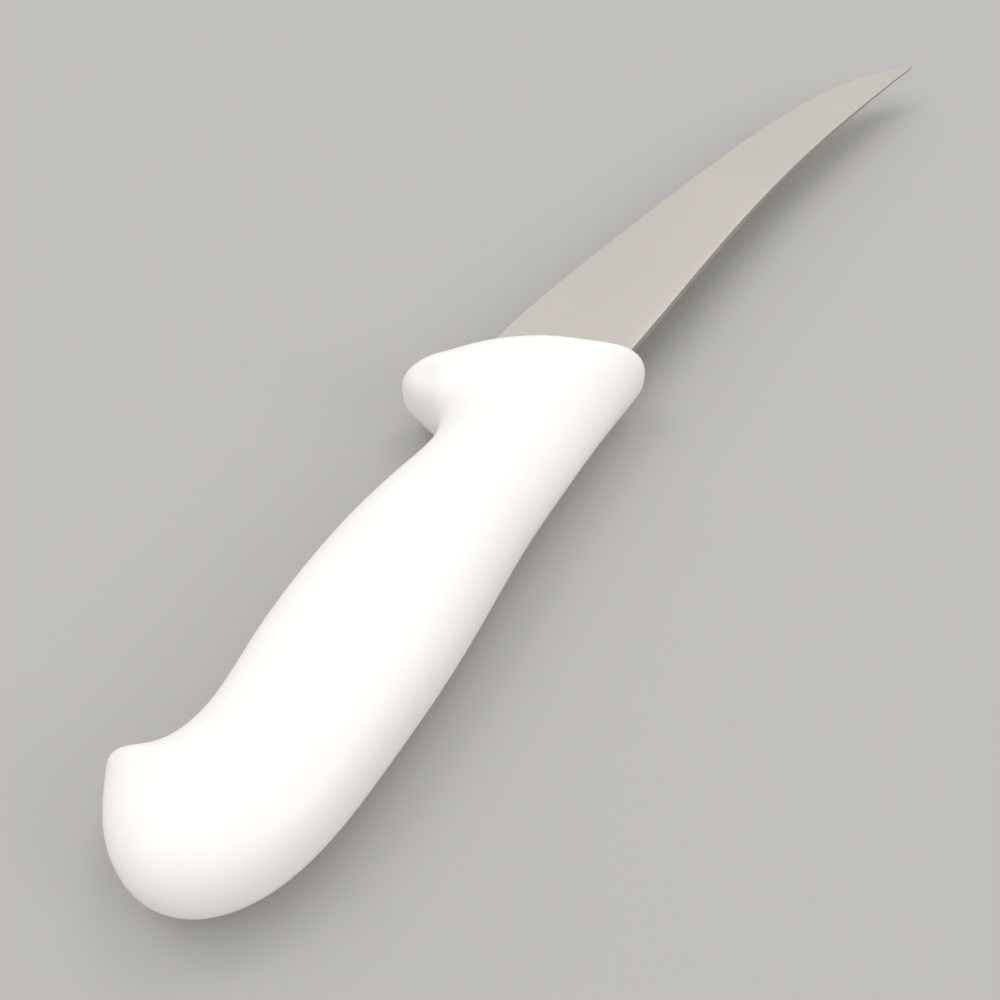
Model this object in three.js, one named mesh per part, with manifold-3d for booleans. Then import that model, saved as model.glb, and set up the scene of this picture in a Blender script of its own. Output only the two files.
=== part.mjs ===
// Boning knife with a curved 150 mm blade and a moulded handle with a finger guard and a hooked pommel.
// Millimetres. +X runs from the pommel to the tip, +Y is the cutting-edge side, and +Z is up
// with the knife lying on its side.
// The dimensions below have x = 0 at the front of the handle and z = 0 in the blade's middle plane.
// The last step moves the origin under the centre of the bounding box, on the rest plane.
import * as THREE from 'three';
import Module from 'manifold-3d';
import { mergeVertices } from 'three/addons/utils/BufferGeometryUtils.js';

const wasm = await Module();
wasm.setup();

// ---- Dimensions -------------------------------------------------------------------------------
// Outlines are x, y control points of closed uniform cubic B-splines. Each starts near the front
// and runs along the spine side to the rear, then back along the edge side.

const GAP = 0.3; // clearance left round every moulded-in piece

// Handle moulding, with the guard and the pommel. Other tables have x in their first column.
const GRIP = {
  outline: [
    [-5.69, 10.75], [-1.79, -3.07], [0.28, -12.93], [-0.63, -13.1], [-9.97, -12.63], [-22.33, -11.77],
    [-35.12, -11.28], [-47.69, -10.53], [-60.29, -10.87], [-73.01, -11.42], [-85.72, -11.3],
    [-98.58, -10.6], [-111.68, -9.85], [-123.62, -6.88], [-132.25, -0.03], [-134.67, 9.4],
    [-129.73, 18.9], [-120.7, 24.85], [-117.67, 27.06], [-114.9, 19.83], [-105.37, 16.87],
    [-91.7, 19.29], [-76.85, 20.01], [-62.22, 19.41], [-49.39, 17.23], [-41.04, 15.15],
    [-34.89, 15.63], [-31.4, 16.76], [-29.89, 21.17], [-27.68, 27.41], [-24.7, 29.6],
    [-20.7, 27.12], [-13.1, 22.25],
  ],
  outlineSamples: 3000,
  // x, y of the crown line, where both sides are thickest
  crown: [[-120, 5.49], [-95, 3.68], [-65, 2.04], [-38, 0.8], [-20, 0.11], [-5, -0.3]],
  // x, half thickness along the crown line
  half: [
    [-135, 8.86], [-118, 10.04], [-95, 10.36], [-65, 10.49], [-32, 9.63], [-12, 10.47], [0, 9.32], [8, 9],
  ],
  // x, superellipse exponent of the cross-section: 2 is an ellipse, more is squarer
  powerSpine: [[-130, 2.31], [-100, 2.56], [-65, 2.33], [-35, 1.91], [-15, 1.91], [2, 2.46]],
  powerEdge: [[-130, 2.38], [-100, 2.45], [-65, 2.34], [-35, 2.54], [-15, 2.71], [2, 2.44]],
  frontIn: 9, // the crown line stops this far behind the front face
  rearIn: 14, // and this far ahead of the rear end
  blend: 4, // softness of those two stops
  // fraction thinned (negative thickens), centre x, y, reach in x, y
  relief: [
    [0.15, -32.28, 16.97, 7.61, 5.67], // behind the guard, where the finger lies
    [-0.19, -22.44, 23.69, 4.03, 7.07], // the guard's end stays full
    [0.03, -36.05, 13.32, 3.74, 1.88], // the foot of the guard, on the neck
    [0.16, -27.16, 23.32, 3.2, 2.97], // the guard's rear wall, steeper than its front
  ],
  stations: 60,
  levels: 14,
};
const REST_HALF = 10.1; // the handle's sides are cut flat at this distance from the middle plane
const REST_SLAB = { length: 200, width: 120, centreX: -60 }; // more than covers the handle's plan

// First-shot core, wholly inside the handle.
const CORE_POWER = [[-130, 3], [-20, 3]];
const CORE = {
  outline: [
    [-24, 3], [-25, -5.6], [-34, -6.2], [-52, -6.0], [-72, -6.6], [-92, -6.4], [-112, -5.0],
    [-122, -1.5], [-127, 6], [-124, 14.4], [-115, 13.8], [-104, 11.6], [-90, 13.6], [-72, 14.4],
    [-54, 12.4], [-38, 9.4], [-27, 10.5],
  ],
  outlineSamples: 1200,
  crown: [[-122, 4.5], [-65, 3.85], [-29, 3.65]],
  half: [[-130, 5.2], [-110, 6.0], [-70, 6.0], [-34, 5.4], [-20, 5.0]],
  powerSpine: CORE_POWER,
  powerEdge: CORE_POWER,
  frontIn: 5,
  rearIn: 5,
  blend: 1.5,
  relief: [],
  stations: 26,
  levels: 8,
};

// Shoulder and tang.
const TANG_HALF = 1.0; // half of the 2.0 mm sheet
const TANG_OUTLINE = [
  [-4.6, -5.0], [-6.2, -7.0], [-13, -6.4], [-20, -5.0], [-26, -2.6], [-34, -2.4], [-56, -2.4],
  [-80, -2.4], [-100, -2.2], [-109, -1.0], [-112, 4.4], [-109, 9.6], [-100, 10.6], [-80, 10.8],
  [-56, 10.4], [-34, 9.6], [-27, 10.6], [-23, 16.0], [-20.5, 20.4], [-15.0, 19.6], [-11.4, 11.0],
];
const TANG_SAMPLES = 84;
const TANG_HOLES = [[-42, 3.8], [-68, 4.2], [-94, 4.2]]; // centres x, y
const TANG_HOLE_R = 2.6;
const TANG_HOLE_SIDES = 28;
const PLUG_LENGTH = 6; // cutter for the core's plugs, longer than the tang's room is thick
const PLUG_SIDES = 20;

// Ground blade, root first, tip last.
const BLADE = [
  // spine x, y        edge x, y          spine thickness
  [-7.0, -6.52, -17.0, 20.50, 1.92],
  [0.0, -7.22, -8.0, 19.62, 1.90],
  [7.0, -7.93, 2.0, 18.58, 1.88],
  [17.0, -8.89, 15.0, 16.40, 1.84],
  [30.5, -10.09, 30.0, 13.34, 1.76],
  [44.0, -11.31, 45.0, 10.03, 1.68],
  [58.0, -12.73, 60.0, 6.64, 1.58],
  [72.0, -14.46, 75.0, 3.11, 1.46],
  [86.5, -16.62, 90.0, -0.70, 1.32],
  [101.0, -19.22, 105.0, -4.96, 1.15],
  [114.0, -21.88, 118.0, -9.28, 0.96],
  [126.0, -24.58, 130.0, -14.34, 0.78],
  [135.5, -26.83, 139.0, -19.51, 0.66],
  [143.5, -28.78, 146.0, -24.98, 0.58],
  [147.2, -29.80, 149.0, -27.50, 0.55],
  [149.2, -30.24, 150.55, -28.86, 0.52],
  [150.25, -30.34, 151.05, -29.48, 0.48],
  [150.85, -30.14, 151.14, -29.84, 0.42],
];
const BLADE_STATIONS = 64;
const BEVEL_WIDTH = 0.55; // honed secondary bevel
const BEVEL_HALF = 0.17; // half thickness behind the bevel
const EDGE_HALF = 0.03; // half thickness of the cutting edge
const SPINE_EASE = 0.16; // broken corner along the spine

// ---- Curves -----------------------------------------------------------------------------------
function closedSpline(control, samples) {
  const n = control.length;
  const points = [];
  for (let k = 0; k < samples; k++) {
    const u = (k * n) / samples;
    const i = Math.floor(u);
    const t = u - i;
    const weights = [
      (1 - t) ** 3 / 6,
      (3 * t ** 3 - 6 * t ** 2 + 4) / 6,
      (-3 * t ** 3 + 3 * t ** 2 + 3 * t + 1) / 6,
      t ** 3 / 6,
    ];
    let x = 0;
    let y = 0;
    weights.forEach((weight, j) => {
      const point = control[(i + j - 1 + n) % n];
      x += weight * point[0];
      y += weight * point[1];
    });
    points.push([x, y]);
  }
  return points;
}

// Cubic Hermite interpolation through [x, value] rows, held at the ends.
function interpolate(rows, x) {
  const last = rows.length - 1;
  if (x <= rows[0][0]) return rows[0][1];
  if (x >= rows[last][0]) return rows[last][1];
  let i = 0;
  while (x > rows[i + 1][0]) i++;
  const slope = (k) => {
    const before = rows[Math.max(k - 1, 0)];
    const after = rows[Math.min(k + 1, last)];
    return (after[1] - before[1]) / (after[0] - before[0]);
  };
  const span = rows[i + 1][0] - rows[i][0];
  const t = (x - rows[i][0]) / span;
  return (2 * t ** 3 - 3 * t ** 2 + 1) * rows[i][1]
    + (t ** 3 - 2 * t ** 2 + t) * span * slope(i)
    + (-2 * t ** 3 + 3 * t ** 2) * rows[i + 1][1]
    + (t ** 3 - t ** 2) * span * slope(i + 1);
}

// Clamps x between low and high, with both stops rounded over about the given width.
function softClamp(x, low, high, width) {
  const ramp = (s) => width * Math.log1p(Math.exp(s / width));
  return high - ramp(high - (low + ramp(x - low)));
}

// Moves every point of a loop outwards, whichever way the loop winds.
function offsetLoop(loop, distance) {
  const n = loop.length;
  let area = 0;
  loop.forEach(([x, y], i) => {
    const next = loop[(i + 1) % n];
    area += x * next[1] - next[0] * y;
  });
  const out = area > 0 ? distance : -distance;
  return loop.map(([x, y], i) => {
    const before = loop[(i + n - 1) % n];
    const after = loop[(i + 1) % n];
    const dx = after[0] - before[0];
    const dy = after[1] - before[1];
    const length = Math.hypot(dx, dy);
    return [x + (out * dy) / length, y - (out * dx) / length];
  });
}

// ---- Geometry ---------------------------------------------------------------------------------
function indexedGeometry(positions, triangles) {
  const geometry = new THREE.BufferGeometry();
  geometry.setAttribute('position', new THREE.Float32BufferAttribute(positions, 3));
  geometry.setIndex(triangles);
  return geometry;
}

// Start of the interval, among 0..last, in which isBefore turns from true to false.
function bisect(last, isBefore) {
  let low = 0;
  let high = last;
  while (high - low > 1) {
    const middle = (low + high) >> 1;
    if (isBefore(middle)) low = middle;
    else high = middle;
  }
  return low;
}

// Cuts the loop at its front and rear points and returns count + 1 stations { x, a, b } from front
// to rear, where a and b are y on the two sides. They are at equal steps of the sides' joint length.
function evenStations(loop, count) {
  const FINE_STEPS = 4000;
  const n = loop.length;
  let front = 0;
  let rear = 0;
  for (let i = 1; i < n; i++) {
    if (loop[i][0] > loop[front][0]) front = i;
    if (loop[i][0] < loop[rear][0]) rear = i;
  }
  const walk = (step) => {
    const side = [loop[front]];
    for (let i = front; i !== rear;) {
      i = (i + step + n) % n;
      side.push(loop[i]);
    }
    return side;
  };
  const sideA = walk(1);
  const sideB = walk(-1);
  const yOn = (side, x) => {
    const i = bisect(side.length - 1, (k) => side[k][0] > x);
    const [from, to] = [side[i], side[i + 1]];
    const t = (x - from[0]) / (to[0] - from[0]);
    return from[1] + t * (to[1] - from[1]);
  };

  const frontX = loop[front][0];
  const rearX = loop[rear][0];
  const fine = [];
  let total = 0;
  for (let k = 0; k <= FINE_STEPS; k++) {
    const x = frontX + (rearX - frontX) * 0.5 * (1 - Math.cos((Math.PI * k) / FINE_STEPS));
    const a = yOn(sideA, x);
    const b = yOn(sideB, x);
    if (k > 0) {
      const previous = fine[k - 1];
      total += Math.hypot(x - previous.x, a - previous.a) + Math.hypot(x - previous.x, b - previous.b);
    }
    fine.push({ x, a, b, distance: total });
  }

  const stations = [];
  for (let j = 0; j <= count; j++) {
    const distance = (total * j) / count;
    const i = bisect(FINE_STEPS, (k) => fine[k].distance <= distance);
    const [from, to] = [fine[i], fine[i + 1]];
    const t = (distance - from.distance) / (to.distance - from.distance);
    const mix = (key) => from[key] + t * (to[key] - from[key]);
    stations.push({ x: mix('x'), a: mix('a'), b: mix('b') });
  }
  return stations;
}

// Rounded body that follows a plan loop. Superelliptic ribs join every loop point to the crown line.
// Both sides share the same stations, so the ribs meet along the crown. grow adds half thickness.
function ribbedBody(loop, shape, grow = 0) {
  const POWER_BLEND = 7; // distance from the crown over which the exponent changes sides
  const { levels, stations: count } = shape;
  const stations = evenStations(loop, count);
  const frontStop = stations[0].x - shape.frontIn;
  const rearStop = stations[count].x + shape.rearIn;
  const rim = stations.map(({ x, a }, station) => ({ x, y: a, station }));
  for (let j = count - 1; j > 0; j--) rim.push({ x: stations[j].x, y: stations[j].b, station: j });

  const positions = [];
  const rows = [];
  for (let i = 0; i <= levels; i++) {
    const angle = -Math.PI / 2 + (Math.PI * i) / levels;
    const onCrown = i === 0 || i === levels;
    const row = [];
    rim.forEach(({ x, y, station }, j) => {
      if (onCrown && j > count) {
        row.push(row[station]); // the second side reuses the first side's crown points
        return;
      }
      const crownX = softClamp(x, rearStop, frontStop, shape.blend);
      const crownY = interpolate(shape.crown, crownX);
      const half = interpolate(shape.half, crownX) + grow;
      const edgeShare = 0.5 * (1 + Math.tanh((y - crownY) / POWER_BLEND));
      const power = interpolate(shape.powerSpine, x) * (1 - edgeShare)
        + interpolate(shape.powerEdge, x) * edgeShare;
      const reach = onCrown ? 0 : Math.abs(Math.cos(angle)) ** (2 / power);
      const height = Math.sign(Math.sin(angle)) * Math.abs(Math.sin(angle)) ** (2 / power);
      const px = crownX + (x - crownX) * reach;
      const py = crownY + (y - crownY) * reach;
      let fullness = 1;
      for (const [amount, cx, cy, reachX, reachY] of shape.relief) {
        fullness *= 1 - amount * Math.exp(-(((px - cx) / reachX) ** 2) - ((py - cy) / reachY) ** 2);
      }
      row.push(positions.length / 3);
      positions.push(px, py, half * height * fullness);
    });
    rows.push(row);
  }

  const triangles = [];
  const addTriangle = (a, b, c) => {
    if (a !== b && b !== c && c !== a) triangles.push(a, b, c);
  };
  for (let i = 0; i < levels; i++) {
    for (let j = 0; j < rim.length; j++) {
      const k = (j + 1) % rim.length;
      addTriangle(rows[i][j], rows[i + 1][k], rows[i][k]);
      addTriangle(rows[i][j], rows[i + 1][j], rows[i + 1][k]);
    }
  }
  return indexedGeometry(positions, triangles);
}

// Flat plate, centred on the middle plane, with tang holes at the given centres.
function plate(loop, half, holeCentres = []) {
  const rim = loop.map(([x, y]) => new THREE.Vector2(x, y));
  if (THREE.ShapeUtils.isClockWise(rim)) rim.reverse();
  const shape = new THREE.Shape(rim);
  for (const [x, y] of holeCentres) {
    const hole = [];
    for (let i = 0; i < TANG_HOLE_SIDES; i++) {
      const angle = (-2 * Math.PI * i) / TANG_HOLE_SIDES;
      hole.push(new THREE.Vector2(x + TANG_HOLE_R * Math.cos(angle), y + TANG_HOLE_R * Math.sin(angle)));
    }
    shape.holes.push(new THREE.Path(hole));
  }
  const geometry = new THREE.ExtrudeGeometry(shape, { depth: 2 * half, bevelEnabled: false });
  geometry.translate(0, 0, -half);
  return geometry;
}

// Blade section as a loop of [distance from the spine, z]. grow swells it on every side.
function bladeSection(width, spineHalf, grow) {
  // The details shrink with the section towards the tip.
  const ease = Math.min(SPINE_EASE, 0.4 * spineHalf, 0.2 * width);
  const bevel = Math.min(BEVEL_WIDTH, 0.35 * width);
  const bevelHalf = Math.min(BEVEL_HALF, 0.75 * spineHalf);
  const upper = [
    [-grow, spineHalf - ease + grow],
    [ease * 0.35, spineHalf - ease * 0.3 + grow], // rounds the broken corner
    [ease, spineHalf + grow],
    [width - bevel, bevelHalf + grow],
    [width + grow, EDGE_HALF + grow],
  ];
  return [...upper, ...upper.map(([across, z]) => [across, -z]).reverse()];
}

// Tapered, flat-ground blade with a honed edge.
function blade(grow = 0) {
  const curve = (pointOf) => new THREE.SplineCurve(
    BLADE.map((row, i) => new THREE.Vector2(...pointOf(row, i))),
  );
  const spineLine = curve((row) => [row[0], row[1]]);
  const edgeLine = curve((row) => [row[2], row[3]]);
  const thicknessLine = curve((row, i) => [i, row[4]]);
  const positions = [];
  let size = 0; // points in a section
  for (let k = 0; k <= BLADE_STATIONS; k++) {
    const t = k / BLADE_STATIONS;
    const spine = spineLine.getPoint(t);
    const across = edgeLine.getPoint(t).sub(spine);
    const width = across.length();
    across.divideScalar(width);
    const section = bladeSection(width, thicknessLine.getPoint(t).y / 2, grow);
    size = section.length;
    const back = k === 0 ? grow : 0; // the swollen blade is also longer at its root
    for (const [distance, z] of section) {
      positions.push(
        spine.x + across.x * distance - across.y * back,
        spine.y + across.y * distance + across.x * back,
        z,
      );
    }
  }

  const triangles = [];
  for (let k = 0; k < BLADE_STATIONS; k++) {
    for (let i = 0; i < size; i++) {
      const a = k * size + i;
      const b = k * size + ((i + 1) % size);
      triangles.push(a, b, b + size, a, b + size, a + size);
    }
  }
  // Root and tip caps, between the section's upper and lower halves.
  const tip = BLADE_STATIONS * size;
  for (let i = 0; i < size / 2 - 1; i++) {
    const j = size - 1 - i;
    triangles.push(i, j, j - 1, i, j - 1, i + 1);
    triangles.push(tip + i, tip + j - 1, tip + j, tip + i, tip + i + 1, tip + j - 1);
  }
  return indexedGeometry(positions, triangles);
}

// ---- Solids -----------------------------------------------------------------------------------
// Welds a closed geometry and turns its faces outwards.
function solid(source) {
  source.deleteAttribute('normal');
  source.deleteAttribute('uv');
  const geometry = mergeVertices(source, 1e-4);
  const corners = geometry.attributes.position.array;
  const indices = Array.from(geometry.index.array);
  let volume = 0; // six times the signed volume
  for (let i = 0; i < indices.length; i += 3) {
    const [a, b, c] = [indices[i] * 3, indices[i + 1] * 3, indices[i + 2] * 3];
    volume += corners[a] * (corners[b + 1] * corners[c + 2] - corners[b + 2] * corners[c + 1])
      - corners[a + 1] * (corners[b] * corners[c + 2] - corners[b + 2] * corners[c])
      + corners[a + 2] * (corners[b] * corners[c + 1] - corners[b + 1] * corners[c]);
  }
  if (volume < 0) {
    for (let i = 0; i < indices.length; i += 3) {
      [indices[i], indices[i + 1]] = [indices[i + 1], indices[i]];
    }
  }
  return new wasm.Manifold(new wasm.Mesh({
    numProp: 3,
    vertProperties: new Float32Array(corners),
    triVerts: new Uint32Array(indices),
  }));
}

function geometryOf(manifold) {
  const { vertProperties, triVerts } = manifold.getMesh();
  const geometry = new THREE.BufferGeometry();
  geometry.setAttribute('position', new THREE.BufferAttribute(new Float32Array(vertProperties), 3));
  geometry.setIndex(new THREE.BufferAttribute(new Uint32Array(triVerts), 1));
  return geometry;
}

// ---- Pieces -----------------------------------------------------------------------------------
const tangLoop = closedSpline(TANG_OUTLINE, TANG_SAMPLES);
const coreLoop = closedSpline(CORE.outline, CORE.outlineSamples);
const tangEnvelope = solid(plate(offsetLoop(tangLoop, GAP), TANG_HALF + GAP));

// Ground blade, shoulder and tang in one sheet.
function bladeBody() {
  return solid(plate(tangLoop, TANG_HALF, TANG_HOLES)).add(solid(blade()));
}

// Core moulded round the tang and keyed through its holes.
function coreBody() {
  let tangRoom = tangEnvelope;
  for (const [x, y] of TANG_HOLES) {
    const radius = TANG_HOLE_R - GAP;
    const plug = new THREE.CylinderGeometry(radius, radius, PLUG_LENGTH, PLUG_SIDES);
    plug.rotateX(Math.PI / 2);
    plug.translate(x, y, 0);
    tangRoom = tangRoom.subtract(solid(plug));
  }
  return solid(ribbedBody(coreLoop, CORE)).subtract(tangRoom);
}

// Outer grip with guard, hooked pommel and two flat sides, hollowed for the core, tang and blade.
function gripBody() {
  const gripLoop = closedSpline(GRIP.outline, GRIP.outlineSamples);
  const slab = new THREE.BoxGeometry(REST_SLAB.length, REST_SLAB.width, 2 * REST_HALF);
  slab.translate(REST_SLAB.centreX, 0, 0);
  const coreRoom = solid(ribbedBody(offsetLoop(coreLoop, GAP), CORE, GAP));
  return solid(ribbedBody(gripLoop, GRIP))
    .intersect(solid(slab))
    .subtract(coreRoom.add(tangEnvelope).add(solid(blade(GAP))));
}

// ---- Assembly ---------------------------------------------------------------------------------
const assembly = new THREE.Group();
assembly.name = 'boning_knife';

function addPiece(name, manifold, material) {
  const mesh = new THREE.Mesh(geometryOf(manifold), new THREE.MeshStandardMaterial(material));
  mesh.name = name;
  assembly.add(mesh);
}
addPiece('blade', bladeBody(), { color: 0xc4bfb8, roughness: 0.38, metalness: 1.0 });
addPiece('handle_core', coreBody(), { color: 0xd9d8d4, roughness: 0.6, metalness: 0.0 });
addPiece('handle_grip', gripBody(), { color: 0xf6f5f3, roughness: 0.42, metalness: 0.0 });

const box = new THREE.Box3();
for (const { geometry } of assembly.children) {
  geometry.computeBoundingBox();
  box.union(geometry.boundingBox);
}
for (const { geometry } of assembly.children) {
  geometry.translate(-(box.min.x + box.max.x) / 2, -(box.min.y + box.max.y) / 2, -box.min.z);
  geometry.computeVertexNormals();
}

export default assembly;
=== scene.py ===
# Boning knife lying on its side: a ground steel blade with a flat tang, a moulded core round the
# tang, and a white plastic grip moulded over both. Sizes are mm in a drawing frame: x runs from
# the rear of the handle to the tip with 0 near the front of the handle, the spine faces -y and
# the edge +y, and z = 0 is the blade's middle plane. SHIFT carries it to the CAD frame.
import math

import bmesh
import bpy
import numpy as np
from mathutils import Matrix, Vector


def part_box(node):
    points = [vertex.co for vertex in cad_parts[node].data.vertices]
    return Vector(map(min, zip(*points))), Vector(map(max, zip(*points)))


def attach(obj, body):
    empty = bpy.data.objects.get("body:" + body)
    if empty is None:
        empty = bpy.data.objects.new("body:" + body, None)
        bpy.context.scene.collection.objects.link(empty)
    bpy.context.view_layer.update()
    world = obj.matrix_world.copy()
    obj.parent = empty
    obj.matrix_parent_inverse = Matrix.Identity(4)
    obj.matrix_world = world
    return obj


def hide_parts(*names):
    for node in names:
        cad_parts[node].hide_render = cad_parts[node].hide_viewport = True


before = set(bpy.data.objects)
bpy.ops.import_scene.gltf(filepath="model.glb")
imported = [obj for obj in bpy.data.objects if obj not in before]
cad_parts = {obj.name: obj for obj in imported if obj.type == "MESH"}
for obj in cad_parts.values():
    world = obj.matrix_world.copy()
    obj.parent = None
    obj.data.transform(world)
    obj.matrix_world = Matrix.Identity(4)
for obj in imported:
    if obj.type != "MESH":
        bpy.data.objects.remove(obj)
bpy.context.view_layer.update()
MM = 0.001

# Grip. Outlines are x, y control points of a closed B-spline.
GRIP_OUTLINE = [
    (-5.69, 10.75), (-1.79, -3.07), (0.28, -12.93), (-0.63, -13.1), (-9.97, -12.63),
    (-22.33, -11.77), (-35.12, -11.28), (-47.69, -10.53), (-60.29, -10.87), (-73.01, -11.42),
    (-85.72, -11.3), (-98.58, -10.6), (-111.68, -9.85), (-123.62, -6.88), (-132.25, -0.03),
    (-134.67, 9.4), (-129.73, 18.9), (-120.7, 24.85), (-117.67, 27.06), (-114.9, 19.83),
    (-105.37, 16.87), (-91.7, 19.29), (-76.85, 20.01), (-62.22, 19.41), (-49.39, 17.23),
    (-41.04, 15.15), (-34.89, 15.63), (-31.4, 16.76), (-29.89, 21.17), (-27.68, 27.41),
    (-24.7, 29.6), (-20.7, 27.12), (-13.1, 22.25),
]
# x and the y of the crown, the line of greatest thickness
GRIP_CROWN = [(-120, 5.49), (-95, 3.68), (-65, 2.04), (-38, 0.8), (-20, 0.11), (-5, -0.3)]
# x, half thickness at the crown
GRIP_HALF = [
    (-135, 8.86), (-118, 10.04), (-95, 10.36), (-65, 10.49),
    (-32, 9.63), (-12, 10.47), (0, 9.32), (8, 9),
]
# x, superellipse power of the section, on the spine side and on the edge side
GRIP_POWERS = (
    [(-130, 2.31), (-100, 2.56), (-65, 2.33), (-35, 1.91), (-15, 1.91), (2, 2.46)],
    [(-130, 2.38), (-100, 2.45), (-65, 2.34), (-35, 2.54), (-15, 2.71), (2, 2.44)],
)
# share of thickness taken away (negative adds), centre x, y, reach in x, y
GRIP_RELIEF = [
    (0.15, -32.28, 16.97, 7.61, 5.67),
    (-0.19, -22.44, 23.69, 4.03, 7.07),
    (0.03, -36.05, 13.32, 3.74, 1.88),
    (0.16, -27.16, 23.32, 3.2, 2.97),
]
REST_HALF = 10.1  # half thickness at the flats on both sides

# Core, in the same terms as the grip
CORE_OUTLINE = [
    (-24, 3), (-25, -5.6), (-34, -6.2), (-52, -6.0), (-72, -6.6), (-92, -6.4), (-112, -5.0),
    (-122, -1.5), (-127, 6), (-124, 14.4), (-115, 13.8), (-104, 11.6), (-90, 13.6),
    (-72, 14.4), (-54, 12.4), (-38, 9.4), (-27, 10.5),
]
CORE_CROWN = [(-122, 4.5), (-65, 3.85), (-29, 3.65)]
CORE_POWER = [(-130, 3), (-20, 3)]
CORE_HALF = [(-130, 5.2), (-110, 6.0), (-70, 6.0), (-34, 5.4), (-20, 5.0)]

# Tang: a flat plate with round holes
TANG_HALF = 1.0
TANG_OUTLINE = [
    (-4.6, -5.0), (-6.2, -7.0), (-13, -6.4), (-20, -5.0), (-26, -2.6), (-34, -2.4),
    (-56, -2.4), (-80, -2.4), (-100, -2.2), (-109, -1.0), (-112, 4.4), (-109, 9.6),
    (-100, 10.6), (-80, 10.8), (-56, 10.4), (-34, 9.6), (-27, 10.6), (-23, 16.0),
    (-20.5, 20.4), (-15.0, 19.6), (-11.4, 11.0),
]
TANG_HOLES = [(-42, 3.8), (-68, 4.2), (-94, 4.2)]  # x, y of the centres
TANG_HOLE_RADIUS = 2.6

# Blade stations from handle to tip: spine x, y, edge x, y, spine thickness
BLADE = np.array([
    (-7.0, -6.52, -17.0, 20.50, 1.92),
    (0.0, -7.22, -8.0, 19.62, 1.90),
    (7.0, -7.93, 2.0, 18.58, 1.88),
    (17.0, -8.89, 15.0, 16.40, 1.84),
    (30.5, -10.09, 30.0, 13.34, 1.76),
    (44.0, -11.31, 45.0, 10.03, 1.68),
    (58.0, -12.73, 60.0, 6.64, 1.58),
    (72.0, -14.46, 75.0, 3.11, 1.46),
    (86.5, -16.62, 90.0, -0.70, 1.32),
    (101.0, -19.22, 105.0, -4.96, 1.15),
    (114.0, -21.88, 118.0, -9.28, 0.96),
    (126.0, -24.58, 130.0, -14.34, 0.78),
    (135.5, -26.83, 139.0, -19.51, 0.66),
    (143.5, -28.78, 146.0, -24.98, 0.58),
    (147.2, -29.80, 149.0, -27.50, 0.55),
    (149.2, -30.24, 150.55, -28.86, 0.52),
    (150.25, -30.34, 151.05, -29.48, 0.48),
    (150.85, -30.14, 151.14, -29.84, 0.42),
])
BEVEL_WIDTH, BEVEL_HALF = 0.55, 0.17  # width, and half thickness where the bevel starts
EDGE_HALF = 0.012
SPINE_EASE = 0.14  # radius of the broken spine corners
EASE_STEPS, GRIND_STEPS = 8, 15
HONED_FROM_X = -16.0

CUT_GAP = 0.03  # blade to grip: moulded tight
HIDDEN_GAP = 0.12  # between the pieces inside the handle
WELD = 2e-6  # metres


# Curves

def closed_spline(controls, count):
    """Points of the uniform cubic B-spline round a closed control loop."""
    controls = np.array(controls, float)
    n = len(controls)
    u = np.linspace(0, n, count, endpoint=False)
    i = np.floor(u).astype(int)
    t = (u - i)[:, None]
    weights = [
        (1 - t) ** 3 / 6,
        (3 * t**3 - 6 * t**2 + 4) / 6,
        (-3 * t**3 + 3 * t**2 + 3 * t + 1) / 6,
        t**3 / 6,
    ]
    return sum(weights[k] * controls[(i + k - 1) % n] for k in range(4))


def lookup(rows, x):
    """Smooth cubic reading of (x, value) rows, held at the end values."""
    at, value = np.array(rows, float).T
    x = np.clip(np.asarray(x, float), at[0], at[-1])
    n = len(at)
    before = np.maximum(np.arange(n) - 1, 0)
    after = np.minimum(np.arange(n) + 1, n - 1)
    slope = (value[after] - value[before]) / (at[after] - at[before])
    i = np.clip(np.searchsorted(at, x, side="left") - 1, 0, n - 2)
    step = at[i + 1] - at[i]
    t = (x - at[i]) / step
    return (
        (2 * t**3 - 3 * t**2 + 1) * value[i] + (t**3 - 2 * t**2 + t) * step * slope[i]
        + (-2 * t**3 + 3 * t**2) * value[i + 1] + (t**3 - t**2) * step * slope[i + 1]
    )


def soft_clip(x, low, high, width):
    def soft_positive(v):
        return width * np.log1p(np.exp(v / width))

    return high - soft_positive(high - (low + soft_positive(x - low)))


def catmull(points, t):
    """Uniform Catmull-Rom curve through the rows, end rows repeated, t from 0 to 1."""
    n = len(points)
    u = t * (n - 1)
    i = np.clip(np.floor(u).astype(int), 0, n - 2)
    w = (u - i)[:, None]
    p0, p1 = points[np.maximum(i - 1, 0)], points[i]
    p2, p3 = points[i + 1], points[np.minimum(i + 2, n - 1)]
    v0, v1 = (p2 - p0) * 0.5, (p3 - p1) * 0.5
    return (2 * p1 - 2 * p2 + v0 + v1) * w**3 + (-3 * p1 + 3 * p2 - 2 * v0 - v1) * w**2 + v0 * w + p1


def offset_loop(loop, distance):
    """The closed loop moved outwards."""
    tangent = np.roll(loop, -1, 0) - np.roll(loop, 1, 0)
    tangent /= np.linalg.norm(tangent, axis=1)[:, None]
    x, y = loop[:, 0], loop[:, 1]
    turn = 1.0 if (x * np.roll(y, -1) - np.roll(x, -1) * y).sum() > 0 else -1.0
    return loop + turn * distance * np.c_[tangent[:, 1], -tangent[:, 0]]


def circle(x, y, radius, sides=48):
    angle = np.linspace(0, 2 * math.pi, sides, endpoint=False)
    return np.c_[x + radius * np.cos(angle), y + radius * np.sin(angle)]


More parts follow.
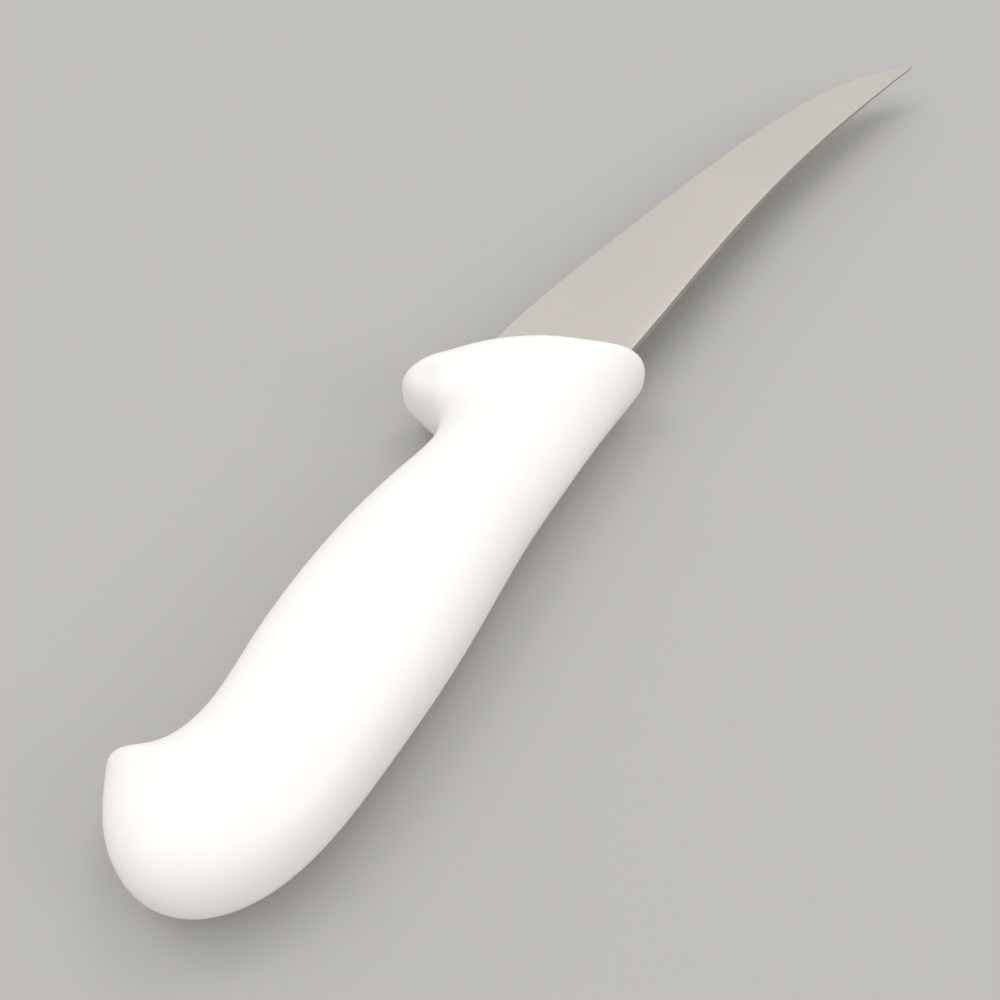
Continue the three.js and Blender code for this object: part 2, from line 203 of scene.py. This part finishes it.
# Drawing frame to CAD frame: matched at the tip, the lowest y of the blade and the grip's mid z
grip_lo, grip_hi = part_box("handle_grip")
blade_lo, blade_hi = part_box("blade")
blade_rims = catmull(BLADE, np.linspace(0, 1, 20000))
SHIFT = np.array([
    blade_hi.x / MM - blade_rims[:, [0, 2]].max(),
    blade_lo.y / MM - blade_rims[:, [1, 3]].min(),
    (grip_lo.z + grip_hi.z) / 2 / MM,
])


# Solids

def mesh_object(name, verts, faces):
    """Object from points in the drawing frame, its faces turned outwards."""
    me = bpy.data.meshes.new(name)
    me.from_pydata(((np.asarray(verts) + SHIFT) * MM).tolist(), [], faces)
    me.validate(clean_customdata=False)
    ob = bpy.data.objects.new(name, me)
    bpy.context.scene.collection.objects.link(ob)
    bm = bmesh.new()
    bm.from_mesh(me)
    bmesh.ops.recalc_face_normals(bm, faces=bm.faces)
    if bm.calc_volume(signed=True) < 0:
        bmesh.ops.reverse_faces(bm, faces=bm.faces)
    bm.to_mesh(me)
    bm.free()
    return ob


def add_face(faces, corners):
    """Adds a quad, or the triangle left when two of its corners are one point."""
    corners = list(dict.fromkeys(corners))
    if len(corners) >= 3:
        faces.append(corners)


def paired_rims(loop, stations):
    """Outline points paired at equal x on its two sides, walked front, one side, rear, other."""
    n = len(loop)
    front, rear = int(loop[:, 0].argmax()), int(loop[:, 0].argmin())

    def walk(step):
        return loop[[(front + step * k) % n for k in range(((rear - front) * step) % n + 1)]]

    side_a, side_b = walk(1), walk(-1)
    x_front, x_rear = loop[front, 0], loop[rear, 0]
    x = x_front + (x_rear - x_front) * (0.5 * (1 - np.cos(np.pi * np.linspace(0, 1, 6001))))
    a = np.interp(-x, -side_a[:, 0], side_a[:, 1])
    b = np.interp(-x, -side_b[:, 0], side_b[:, 1])
    travel = np.hypot(np.diff(x), np.diff(a)) + np.hypot(np.diff(x), np.diff(b))
    travel = np.r_[0, np.cumsum(travel)]
    stops = np.linspace(0, travel[-1], stations + 1)
    x, a, b = (np.interp(stops, travel, values) for values in (x, a, b))
    return np.r_[x, x[-2:0:-1]], np.r_[a, b[-2:0:-1]], x_front, x_rear


def settle(raw, top_half, flat):
    """Eases the thickness on to a flat on each side, leaving the middle alone."""
    softness = 0.25
    untouched = 2.0  # half thickness below which nothing changes
    top = flat + softness * math.log1p(math.exp(-(top_half - flat) / softness))
    eased = top - softness * np.log1p(np.exp((top - np.abs(raw)) / softness))
    return np.where(np.abs(raw) < untouched, raw, np.sign(raw) * eased)


def ribbed(name, loop, crown, half, powers, front_in, rear_in, blend, stations, levels,
           grow=0.0, flat=None, relief=()):
    """Closed body: superelliptic ribs join each outline point to the crown line.

    The crown line stops front_in and rear_in short of the ends, softened over blend.
    """
    rim_x, rim_y, x_front, x_rear = paired_rims(loop, stations)
    count = len(rim_x)
    crown_x = soft_clip(rim_x, x_rear + rear_in, x_front - front_in, blend)
    crown_y = lookup(crown, crown_x)
    height = lookup(half, crown_x) + grow
    edgeward = 0.5 * (1 + np.tanh((rim_y - crown_y) / 7))  # 0 on the spine side, 1 on the edge side
    power = lookup(powers[0], rim_x) * (1 - edgeward) + lookup(powers[1], rim_x) * edgeward
    verts, rows = [], []
    for i in range(levels + 1):
        angle = -math.pi / 2 + math.pi * i / levels
        pole = i in (0, levels)
        reach = 0.0 if pole else abs(math.cos(angle)) ** (2 / power)
        rise = math.copysign(1.0, angle) * abs(math.sin(angle)) ** (2 / power)
        x = crown_x + (rim_x - crown_x) * reach
        y = crown_y + (rim_y - crown_y) * reach
        z = height * rise
        for share, mid_x, mid_y, wide_x, wide_y in relief:
            z = z * (1 - share * np.exp(-(((x - mid_x) / wide_x) ** 2) - ((y - mid_y) / wide_y) ** 2))
        if flat:
            z = settle(z, height.max(), flat)
        points = np.c_[x, y, z]
        base = len(verts)
        if pole:  # both sides share the crown line
            verts.extend(points[: stations + 1].tolist())
            rows.append([base + (k if k <= stations else count - k) for k in range(count)])
        else:
            verts.extend(points.tolist())
            rows.append([base + k for k in range(count)])
    faces = []
    for low, high in zip(rows, rows[1:]):
        for j in range(count):
            k = (j + 1) % count
            add_face(faces, [low[j], low[k], high[k], high[j]])
    return mesh_object(name, np.array(verts), faces)


def blade_side(length, spine_half, grow):
    """Upper half of a blade section, from spine to edge: distance from the spine, z."""
    # Ease and bevel shrink where the blade is thin or narrow.
    ease = min(SPINE_EASE, 0.5 * spine_half, 0.2 * length)
    bevel = min(BEVEL_WIDTH, 0.35 * length)
    bevel_half = min(BEVEL_HALF, 0.75 * spine_half)
    side = [(0.0, 0.0), (0.0, (spine_half - ease) * 0.5)]
    for i in range(EASE_STEPS + 1):
        angle = math.pi / 2 * i / EASE_STEPS
        side.append((ease * (1 - math.cos(angle)), spine_half - ease + ease * math.sin(angle)))
    for i in range(1, GRIND_STEPS):
        f = i / GRIND_STEPS
        side.append((
            ease + (length - bevel - ease) * f,
            spine_half + (bevel_half - spine_half) * f,
        ))
    side.append((length - bevel, bevel_half))
    side.append((length - bevel * 0.5, (bevel_half + EDGE_HALF) / 2))
    side.append((length, EDGE_HALF))
    grown = []
    for along, z in side:
        if along == 0.0:
            along = along - grow
        elif along == length:
            along = along + grow
        grown.append((along, z + (grow if z > 0 else 0)))
    return grown


def ground_blade(name, grow=0.0, stations=420):
    rails = catmull(BLADE, np.linspace(0, 1, stations + 1))
    verts = []
    for k, rail in enumerate(rails):
        spine, edge = rail[0:2], rail[2:4]
        length = float(np.linalg.norm(edge - spine))
        across = (edge - spine) / length
        side = blade_side(length, rail[4] / 2, grow)
        back = grow if k == 0 else 0.0
        for along, z in side + [(a, -z) for a, z in reversed(side[1:])]:
            verts.append((
                spine[0] + across[0] * along - across[1] * back,
                spine[1] + across[1] * along + across[0] * back,
                z,
            ))
    side_count = len(side)
    ring = 2 * side_count - 1
    faces = []
    for k in range(stations):
        for i in range(ring):
            j = (i + 1) % ring
            faces.append((k * ring + i, k * ring + j, (k + 1) * ring + j, (k + 1) * ring + i))
    for base in (0, stations * ring):  # end caps, in quads across the thickness
        top = list(range(base, base + side_count))
        bottom = [base] + list(range(base + ring - 1, base + side_count - 1, -1))
        for i in range(side_count - 1):
            add_face(faces, [top[i], top[i + 1], bottom[i + 1], bottom[i]])
    return mesh_object(name, np.array(verts), faces)


def plate(name, loop, half, holes=()):
    """Flat sheet of an outline, with round holes given as x, y, radius."""
    bm = bmesh.new()
    edges = []
    for points in [loop] + [circle(*hole) for hole in holes]:
        rim = [bm.verts.new((x, y, 0)) for x, y in points]
        edges.append(rim)
    edges = [bm.edges.new((rim[i], rim[(i + 1) % len(rim)])) for rim in edges for i in range(len(rim))]
    bmesh.ops.triangle_fill(bm, use_beauty=True, use_dissolve=False, edges=edges)
    for v in bm.verts:
        v.co.z = -half
    out = bmesh.ops.extrude_face_region(bm, geom=list(bm.faces))
    for item in out["geom"]:
        if isinstance(item, bmesh.types.BMVert):
            item.co.z = half
    bm.verts.index_update()
    verts = [tuple(v.co) for v in bm.verts]
    faces = [[v.index for v in face.verts] for face in bm.faces]
    bm.free()
    return mesh_object(name, np.array(verts), faces)


def cylinder(name, x, y, radius, half):
    ring = circle(x, y, radius)
    n = len(ring)
    verts = np.r_[np.c_[ring, np.full(n, -half)], np.c_[ring, np.full(n, half)]]
    faces = [(i, (i + 1) % n, n + (i + 1) % n, n + i) for i in range(n)]
    faces += [tuple(range(n))[::-1], tuple(range(n, 2 * n))]
    return mesh_object(name, verts, faces)


def in_order(me):
    """The mesh with points and faces in a fixed order; a boolean's own order varies by run."""
    co = np.empty(len(me.vertices) * 3, np.float32)
    me.vertices.foreach_get("co", co)
    points, place = np.unique(co.reshape(-1, 3) + 0.0, axis=0, return_inverse=True)
    place = place.ravel()
    faces = []
    for polygon in me.polygons:
        face = [int(place[i]) for i in polygon.vertices]
        face = [i for i, j in zip(face, face[1:] + face[:1]) if i != j]
        if len(set(face)) > 2:
            k = face.index(min(face))
            faces.append(tuple(face[k:] + face[:k]))
    out = bpy.data.meshes.new("ordered")
    out.from_pydata(points.tolist(), [], sorted(faces))
    out.update()
    return out


def combine(target, other, operation):
    """Applies a boolean to target and removes the other object."""
    modifier = target.modifiers.new("boolean", "BOOLEAN")
    modifier.operation, modifier.object, modifier.solver = operation, other, "EXACT"
    depsgraph = bpy.context.evaluated_depsgraph_get()
    depsgraph.update()
    me = bpy.data.meshes.new_from_object(target.evaluated_get(depsgraph), depsgraph=depsgraph)
    old = target.data
    target.modifiers.clear()
    target.data = in_order(me)
    bpy.data.meshes.remove(me)
    bpy.data.meshes.remove(old)
    used = other.data
    bpy.data.objects.remove(other)
    bpy.data.meshes.remove(used)


def tidy(ob, sharp_deg):
    """Welds slivers, closes what that opens, and shades smooth with real corners kept sharp."""
    bm = bmesh.new()
    bm.from_mesh(ob.data)
    bmesh.ops.remove_doubles(bm, verts=bm.verts, dist=WELD)
    bmesh.ops.dissolve_degenerate(bm, edges=bm.edges, dist=WELD)
    loose = [v for v in bm.verts if not v.link_faces]
    if loose:
        bmesh.ops.delete(bm, geom=loose, context="VERTS")
    spare = [v for v in bm.verts if len(v.link_edges) == 2]
    if spare:
        bmesh.ops.dissolve_verts(bm, verts=spare)
    rim = [e for e in bm.edges if len(e.link_faces) == 1]
    if rim:
        bmesh.ops.holes_fill(bm, edges=rim, sides=0)
        bmesh.ops.recalc_face_normals(bm, faces=bm.faces)
    limit = math.radians(sharp_deg)
    for e in bm.edges:
        e.smooth = len(e.link_faces) == 2 and e.calc_face_angle(0.0) < limit
    for f in bm.faces:
        f.smooth = True
    bm.to_mesh(ob.data)
    bm.free()
    ob.data.update()


# Pieces

core_plan = closed_spline(CORE_OUTLINE, 2400)
tang_plan = closed_spline(TANG_OUTLINE, 336)


def core_body(name, loop, **options):
    return ribbed(
        name, loop, CORE_CROWN, CORE_HALF, (CORE_POWER, CORE_POWER),
        front_in=5.0, rear_in=5.0, blend=1.5, **options,
    )


def tang_room(name):
    return plate(name, offset_loop(tang_plan, HIDDEN_GAP), TANG_HALF + HIDDEN_GAP)


def make_blade():
    """Flat tang with its holes, joined to the ground blade."""
    holes = [(x, y, TANG_HOLE_RADIUS) for x, y in TANG_HOLES]
    ob = plate("blade_blank", tang_plan, TANG_HALF, holes)
    combine(ob, ground_blade("ground"), "UNION")
    tidy(ob, sharp_deg=9.5)
    return ob


def make_core():
    """Core round the tang, keyed through its holes."""
    ob = core_body("core_moulding", core_plan, stations=150, levels=28)
    room = tang_room("tang_room")
    for x, y in TANG_HOLES:
        plug = cylinder("plug", x, y, radius=TANG_HOLE_RADIUS - HIDDEN_GAP, half=3.0)
        combine(room, plug, "DIFFERENCE")
    combine(ob, room, "DIFFERENCE")
    tidy(ob, sharp_deg=30)
    return ob


def make_grip():
    """Outer moulding, hollowed by the room of core, tang and blade."""
    ob = ribbed(
        "grip_moulding", closed_spline(GRIP_OUTLINE, 6000), GRIP_CROWN, GRIP_HALF, GRIP_POWERS,
        front_in=9.0, rear_in=14.0, blend=4.0, stations=330, levels=60,
        flat=REST_HALF, relief=GRIP_RELIEF,
    )
    core_loop = offset_loop(core_plan, HIDDEN_GAP)
    inside = core_body("core_room", core_loop, stations=120, levels=24, grow=HIDDEN_GAP)
    combine(inside, tang_room("tang_room2"), "UNION")
    combine(inside, ground_blade("blade_room", grow=CUT_GAP, stations=96), "UNION")
    combine(ob, inside, "DIFFERENCE")
    tidy(ob, sharp_deg=28)
    return ob


# Materials, all procedural in object coordinates (metres)

class Nodes:
    """A new material with a Principled shader, and short ways to add nodes to it."""

    def __init__(self, name):
        self.mat = bpy.data.materials.new(name)
        self.mat.use_nodes = True
        self.tree = self.mat.node_tree
        self.tree.nodes.clear()
        out = self.add("OutputMaterial")
        self.bsdf = self.add("BsdfPrincipled")
        self.feed(out.inputs[0], self.bsdf.outputs[0])
        self.coord = self.add("TexCoord").outputs["Object"]

    def add(self, kind):
        return self.tree.nodes.new("ShaderNode" + kind)

    def feed(self, socket, value):
        """Links a socket, or sets a plain value."""
        if isinstance(value, bpy.types.NodeSocket):
            self.tree.links.new(value, socket)
        else:
            socket.default_value = value

    def set(self, **values):
        for key, value in values.items():
            self.feed(self.bsdf.inputs[key.replace("_", " ")], value)

    def noise(self, scale=1.0, detail=2.0, rough=0.5, distortion=0.0,
              stretch=(1, 1, 1), turn=(0, 0, 0), offset=(0, 0, 0)):
        place = self.add("Mapping")
        self.feed(place.inputs["Scale"], stretch)
        self.feed(place.inputs["Rotation"], turn)
        self.feed(place.inputs["Location"], offset)
        self.feed(place.inputs["Vector"], self.coord)
        n = self.add("TexNoise")
        self.feed(n.inputs["Scale"], scale)
        self.feed(n.inputs["Detail"], detail)
        self.feed(n.inputs["Roughness"], rough)
        self.feed(n.inputs["Distortion"], distortion)
        self.feed(n.inputs["Vector"], place.outputs[0])
        return n.outputs["Fac"]

    def remap(self, value, span, to=(0.0, 1.0)):
        n = self.add("MapRange")
        self.feed(n.inputs["From Min"], span[0])
        self.feed(n.inputs["From Max"], span[1])
        self.feed(n.inputs["To Min"], to[0])
        self.feed(n.inputs["To Max"], to[1])
        self.feed(n.inputs["Value"], value)
        return n.outputs[0]

    def math(self, operation, a, b):
        n = self.add("Math")
        n.operation = operation
        self.feed(n.inputs[0], a)
        self.feed(n.inputs[1], b)
        return n.outputs[0]

    def times(self, value, factor):
        return self.math("MULTIPLY", value, factor)

    def weighted(self, a, b, share):
        """share of a plus the rest of b"""
        return self.math("ADD", self.times(a, share), self.times(b, 1 - share))

    def mix(self, factor, a, b):
        n = self.add("Mix")
        n.data_type = "RGBA"
        self.feed(n.inputs[0], factor)
        for socket, colour in ((n.inputs[6], a), (n.inputs[7], b)):
            self.feed(socket, (*colour, 1.0) if isinstance(colour, tuple) else colour)
        return n.outputs[2]

    def bump(self, height, distance, normal=None):
        n = self.add("Bump")
        self.feed(n.inputs["Distance"], distance)
        self.feed(n.inputs["Strength"], 1.0)
        self.feed(n.inputs["Height"], height)
        if normal is not None:
            self.feed(n.inputs["Normal"], normal)
        return n.outputs[0]


def plastic(name, base, warm, rough, subsurface):
    """Clouded plastic, smoother on exposed curves, with a few hair scuffs and a fine grain."""
    n = Nodes(name)
    cloud = n.noise(scale=28.0, detail=3.0, rough=0.55)
    mottle = n.noise(scale=190.0, detail=3.0, rough=0.6, offset=(0.3, 0.1, 0.7))
    tone = n.weighted(
        n.remap(cloud, span=(0.3, 0.7)), n.remap(mottle, span=(0.35, 0.65)), share=0.7
    )
    worn = n.remap(n.add("NewGeometry").outputs["Pointiness"], span=(0.505, 0.56))
    scuff_a = n.noise(distortion=0.15, stretch=(40, 900, 900), turn=(0, 0, 0.35))
    scuff_b = n.noise(distortion=0.2, stretch=(60, 1100, 1100), turn=(0.2, 0.1, -0.5))
    scuff = n.math(
        "MAXIMUM", n.remap(scuff_a, span=(0.70, 0.76)), n.remap(scuff_b, span=(0.71, 0.77))
    )
    gloss = n.remap(cloud, span=(0.25, 0.75), to=(rough - 0.035, rough + 0.035))
    gloss = n.math("ADD", gloss, n.times(scuff, factor=0.10))
    gloss = n.math("SUBTRACT", gloss, n.times(worn, factor=0.05))
    grain = n.noise(scale=3600.0, rough=0.55)
    orange_peel = n.noise(scale=420.0, offset=(0.5, 0.2, 0.1))
    normal = n.bump(orange_peel, distance=0.000012)
    normal = n.bump(grain, distance=0.0000032, normal=normal)
    normal = n.bump(n.times(scuff, factor=-1.0), distance=0.000004, normal=normal)
    n.set(
        Base_Color=n.mix(tone, warm, base), Roughness=gloss, Normal=normal, Metallic=0.0,
        IOR=1.49, Subsurface_Weight=subsurface, Subsurface_Radius=(1.0, 0.92, 0.82),
        Subsurface_Scale=0.0012,
    )
    return n.mat


def steel(name, bright, dark, rough, line_scale, depth, spine=False, anisotropy=0.0):
    """Satin steel, its belt lines running across the blade. spine paints the back: its face a darker
    tone, partly the finish as cut from the sheet and partly painted dark reflection, and its eased
    corners a painted dark reflection.
    """
    n = Nodes(name)
    fine = n.noise(detail=3.0, rough=0.65, stretch=(line_scale, 60, 60), turn=(0, 0, -0.12))
    coarse = n.noise(
        stretch=(line_scale * 0.33, 34, 34), turn=(0, 0, -0.08), offset=(3.1, 0.4, 0.2)
    )
    long_lines = n.noise(distortion=0.1, stretch=(24, 1900, 1900), turn=(0, 0, 0.17))
    hair = n.remap(long_lines, span=(0.76, 0.82))
    smudge = n.noise(scale=26.0, detail=3.0, rough=0.55)
    lines = n.weighted(fine, coarse, share=0.7)
    tone = n.weighted(
        n.remap(lines, span=(0.3, 0.7)), n.remap(smudge, span=(0.3, 0.7)), share=0.55
    )
    base = n.mix(tone, dark, bright)
    gloss = n.remap(lines, span=(0.25, 0.75), to=(rough - 0.02, rough + 0.02))
    dulled = n.times(n.remap(smudge, span=(0.45, 0.75)), factor=0.02)
    gloss = n.math("ADD", gloss, dulled)
    gloss = n.math("SUBTRACT", gloss, n.times(hair, factor=0.04))
    if spine:  # found by how far the surface faces -y
        split = n.add("SeparateXYZ")
        n.feed(split.inputs[0], n.add("NewGeometry").outputs["Normal"])
        facing = n.times(split.outputs[1], factor=-1.0)
        corner = n.remap(facing, span=(0.50, 0.78))
        flat = n.remap(facing, span=(0.90, 0.985))
        streak = n.noise(detail=3.0, rough=0.6, stretch=(420, 2600, 2600))
        # The flat of the spine gets a darker steel tone, partly the finish as cut from the sheet and
        # partly painted dark reflection.
        spine_face_tone_and_painted_reflection = n.mix(n.remap(streak, span=(0.3, 0.7)), (0.48, 0.455, 0.42), (0.60, 0.57, 0.53))
        # The eased spine corners get a dark tone, a painted dark reflection along the corners.
        corner_painted_reflection = n.mix(n.remap(streak, span=(0.3, 0.7)), (0.13, 0.12, 0.11), (0.20, 0.187, 0.17))
        base = n.mix(corner, base, n.mix(flat, corner_painted_reflection, spine_face_tone_and_painted_reflection))
        gloss = n.math("ADD", gloss, n.times(corner, factor=0.12))
    n.set(Base_Color=base, Metallic=1.0, Roughness=gloss)
    if anisotropy:
        along = n.add("CombineXYZ")
        along.inputs[0].default_value = 1.0
        n.set(Anisotropic=anisotropy, Tangent=along.outputs[0])
    normal = n.bump(lines, distance=depth)
    n.set(Normal=n.bump(n.times(hair, factor=-1.0), distance=depth * 0.5, normal=normal))
    return n.mat


def mark_honed(me):
    """Gives the second material to the faces of the edge bevel."""
    slack_width, slack_half = 0.02, 0.01
    edge_line = (catmull(BLADE[:, 2:4], np.linspace(0, 1, 2000)) + SHIFT[:2]) * MM
    start, span = edge_line[:-1], np.diff(edge_line, axis=0)[None]
    co = np.array([v.co[:] for v in me.vertices])
    near = np.zeros(len(co), bool)
    chunk = 2000  # points at a time, to hold memory down
    for i in range(0, len(co), chunk):
        p = co[i : i + chunk, None, :2]
        u = np.clip(((p - start[None]) * span).sum(-1) / (span * span).sum(-1), 0, 1)
        distance = np.linalg.norm(p - (start[None] + span * u[..., None]), axis=-1).min(1)
        near[i : i + chunk] = distance < (BEVEL_WIDTH + slack_width) * MM
    thin = np.abs(co[:, 2] / MM - SHIFT[2]) < BEVEL_HALF + slack_half
    honed = near & thin & (co[:, 0] / MM - SHIFT[0] > HONED_FROM_X)
    for f in me.polygons:
        f.material_index = 1 if f.area > 0 and all(honed[v] for v in f.vertices) else 0


blade_ob = make_blade()
core_ob = make_core()
grip_ob = make_grip()

white = plastic(
    "white_polypropylene", base=(0.905, 0.895, 0.88), warm=(0.885, 0.872, 0.852),
    rough=0.40, subsurface=0.12,
)
core_white = plastic(
    "core_polypropylene", base=(0.80, 0.80, 0.78), warm=(0.74, 0.735, 0.71),
    rough=0.55, subsurface=0.1,
)
satin = steel(
    "satin_steel", bright=(0.583, 0.557, 0.520), dark=(0.550, 0.525, 0.490), rough=0.42,
    line_scale=5600.0, depth=0.0000007, spine=True, anisotropy=0.4,
)
honed_steel = steel(
    "honed_steel", bright=(0.61, 0.583, 0.546), dark=(0.565, 0.540, 0.505), rough=0.40,
    line_scale=7600.0, depth=0.0000004,
)
for ob, node, materials in (
    (blade_ob, "blade", (satin, honed_steel)),
    (core_ob, "handle_core", (core_white,)),
    (grip_ob, "handle_grip", (white,)),
):
    for material in materials:
        ob.data.materials.append(material)
    if ob is blade_ob:
        mark_honed(ob.data)
    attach(ob, "root")
    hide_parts(node)

# Stage, in metres: pale floor, soft lights, even world, camera
STUDIO_WHITE = (1.0, 0.985, 0.965)
LIGHT_AIM = Vector((-0.03, 0.0, 0.0))
LIGHT_DISTANCE, LIGHT_SIZE = 1.2, 0.5
SOFTBOXES = [  # name, azimuth from +X towards +Y, elevation (degrees), watts
    ("softbox_a", 0, 60, 1.60),
    ("softbox_b", 90, 60, 1.80),
    ("softbox_c", 135, 60, 1.00),
    ("softbox_d", 225, 45, 0.70),
    ("softbox_e", 270, 30, 1.50),
    ("softbox_f", 45, 30, 0.30),
]
scene = bpy.context.scene


def make_floor():
    bm = bmesh.new()
    bmesh.ops.create_grid(bm, x_segments=8, y_segments=8, size=30.0)
    me = bpy.data.meshes.new("floor")
    bm.to_mesh(me)
    bm.free()
    floor = bpy.data.objects.new("floor", me)
    floor.location.z = -0.00003
    scene.collection.objects.link(floor)
    n = Nodes("pale_floor")
    colour = n.mix(n.noise(scale=3.0), (0.425, 0.420, 0.410), (0.447, 0.442, 0.432))
    n.set(Base_Color=colour, Roughness=0.8)
    floor.data.materials.append(n.mat)


def softbox(name, azimuth, elevation, power):
    a, e = math.radians(azimuth), math.radians(elevation)
    back = Vector((math.cos(a) * math.cos(e), math.sin(a) * math.cos(e), math.sin(e)))
    light = bpy.data.lights.new(name, "AREA")
    light.shape, light.size, light.size_y = "RECTANGLE", LIGHT_SIZE, LIGHT_SIZE
    light.energy, light.color = power, STUDIO_WHITE
    ob = bpy.data.objects.new(name, light)
    ob.location = LIGHT_AIM + back * LIGHT_DISTANCE
    ob.rotation_mode = "QUATERNION"
    ob.rotation_quaternion = back.to_track_quat("Z", "Y")
    scene.collection.objects.link(ob)


def make_world():
    world = bpy.data.worlds.new("studio")
    world.use_nodes = True
    scene.world = world
    tree = world.node_tree
    tree.nodes.clear()
    out = tree.nodes.new("ShaderNodeOutputWorld")
    background = tree.nodes.new("ShaderNodeBackground")
    background.inputs["Color"].default_value = (*STUDIO_WHITE, 1.0)
    background.inputs["Strength"].default_value = 0.84
    tree.links.new(background.outputs[0], out.inputs[0])


def make_camera():
    # Radians: pitch below level, yaw from +Y towards +X, roll about the view
    pitch, yaw, roll = 0.824214, 1.105626, -0.001046
    # Place in the drawing frame (mm): left of and behind the origin along the yaw, and above it
    left, behind, above = 17.6509, 187.9011, 159.883
    c, s = math.cos(yaw), math.sin(yaw)
    eye = (np.array([-left * c - behind * s, left * s - behind * c, above]) + SHIFT) * MM
    right = Vector((c, -s, 0.0))
    up = Vector((math.sin(pitch) * s, math.sin(pitch) * c, math.cos(pitch)))
    back = right.cross(up)
    c, s = math.cos(roll), math.sin(roll)
    right, up = right * c + up * s, up * c - right * s
    cam = bpy.data.cameras.new("camera")
    cam.sensor_width, cam.lens = 36.0, 43.1856
    cam.shift_x, cam.shift_y = -0.0005, 0.0005
    cam.clip_start, cam.clip_end = 0.01, 50.0
    ob = bpy.data.objects.new("camera", cam)
    pose = Matrix((right, up, back)).transposed().to_4x4()
    pose.translation = Vector(eye)
    ob.matrix_world = pose
    scene.collection.objects.link(ob)
    scene.camera = ob


make_floor()
for row in SOFTBOXES:
    softbox(*row)
make_world()
scene.view_settings.view_transform = "Standard"
scene.view_settings.look = "None"
scene.view_settings.exposure = 0.0
scene.view_settings.gamma = 1.0
make_camera()
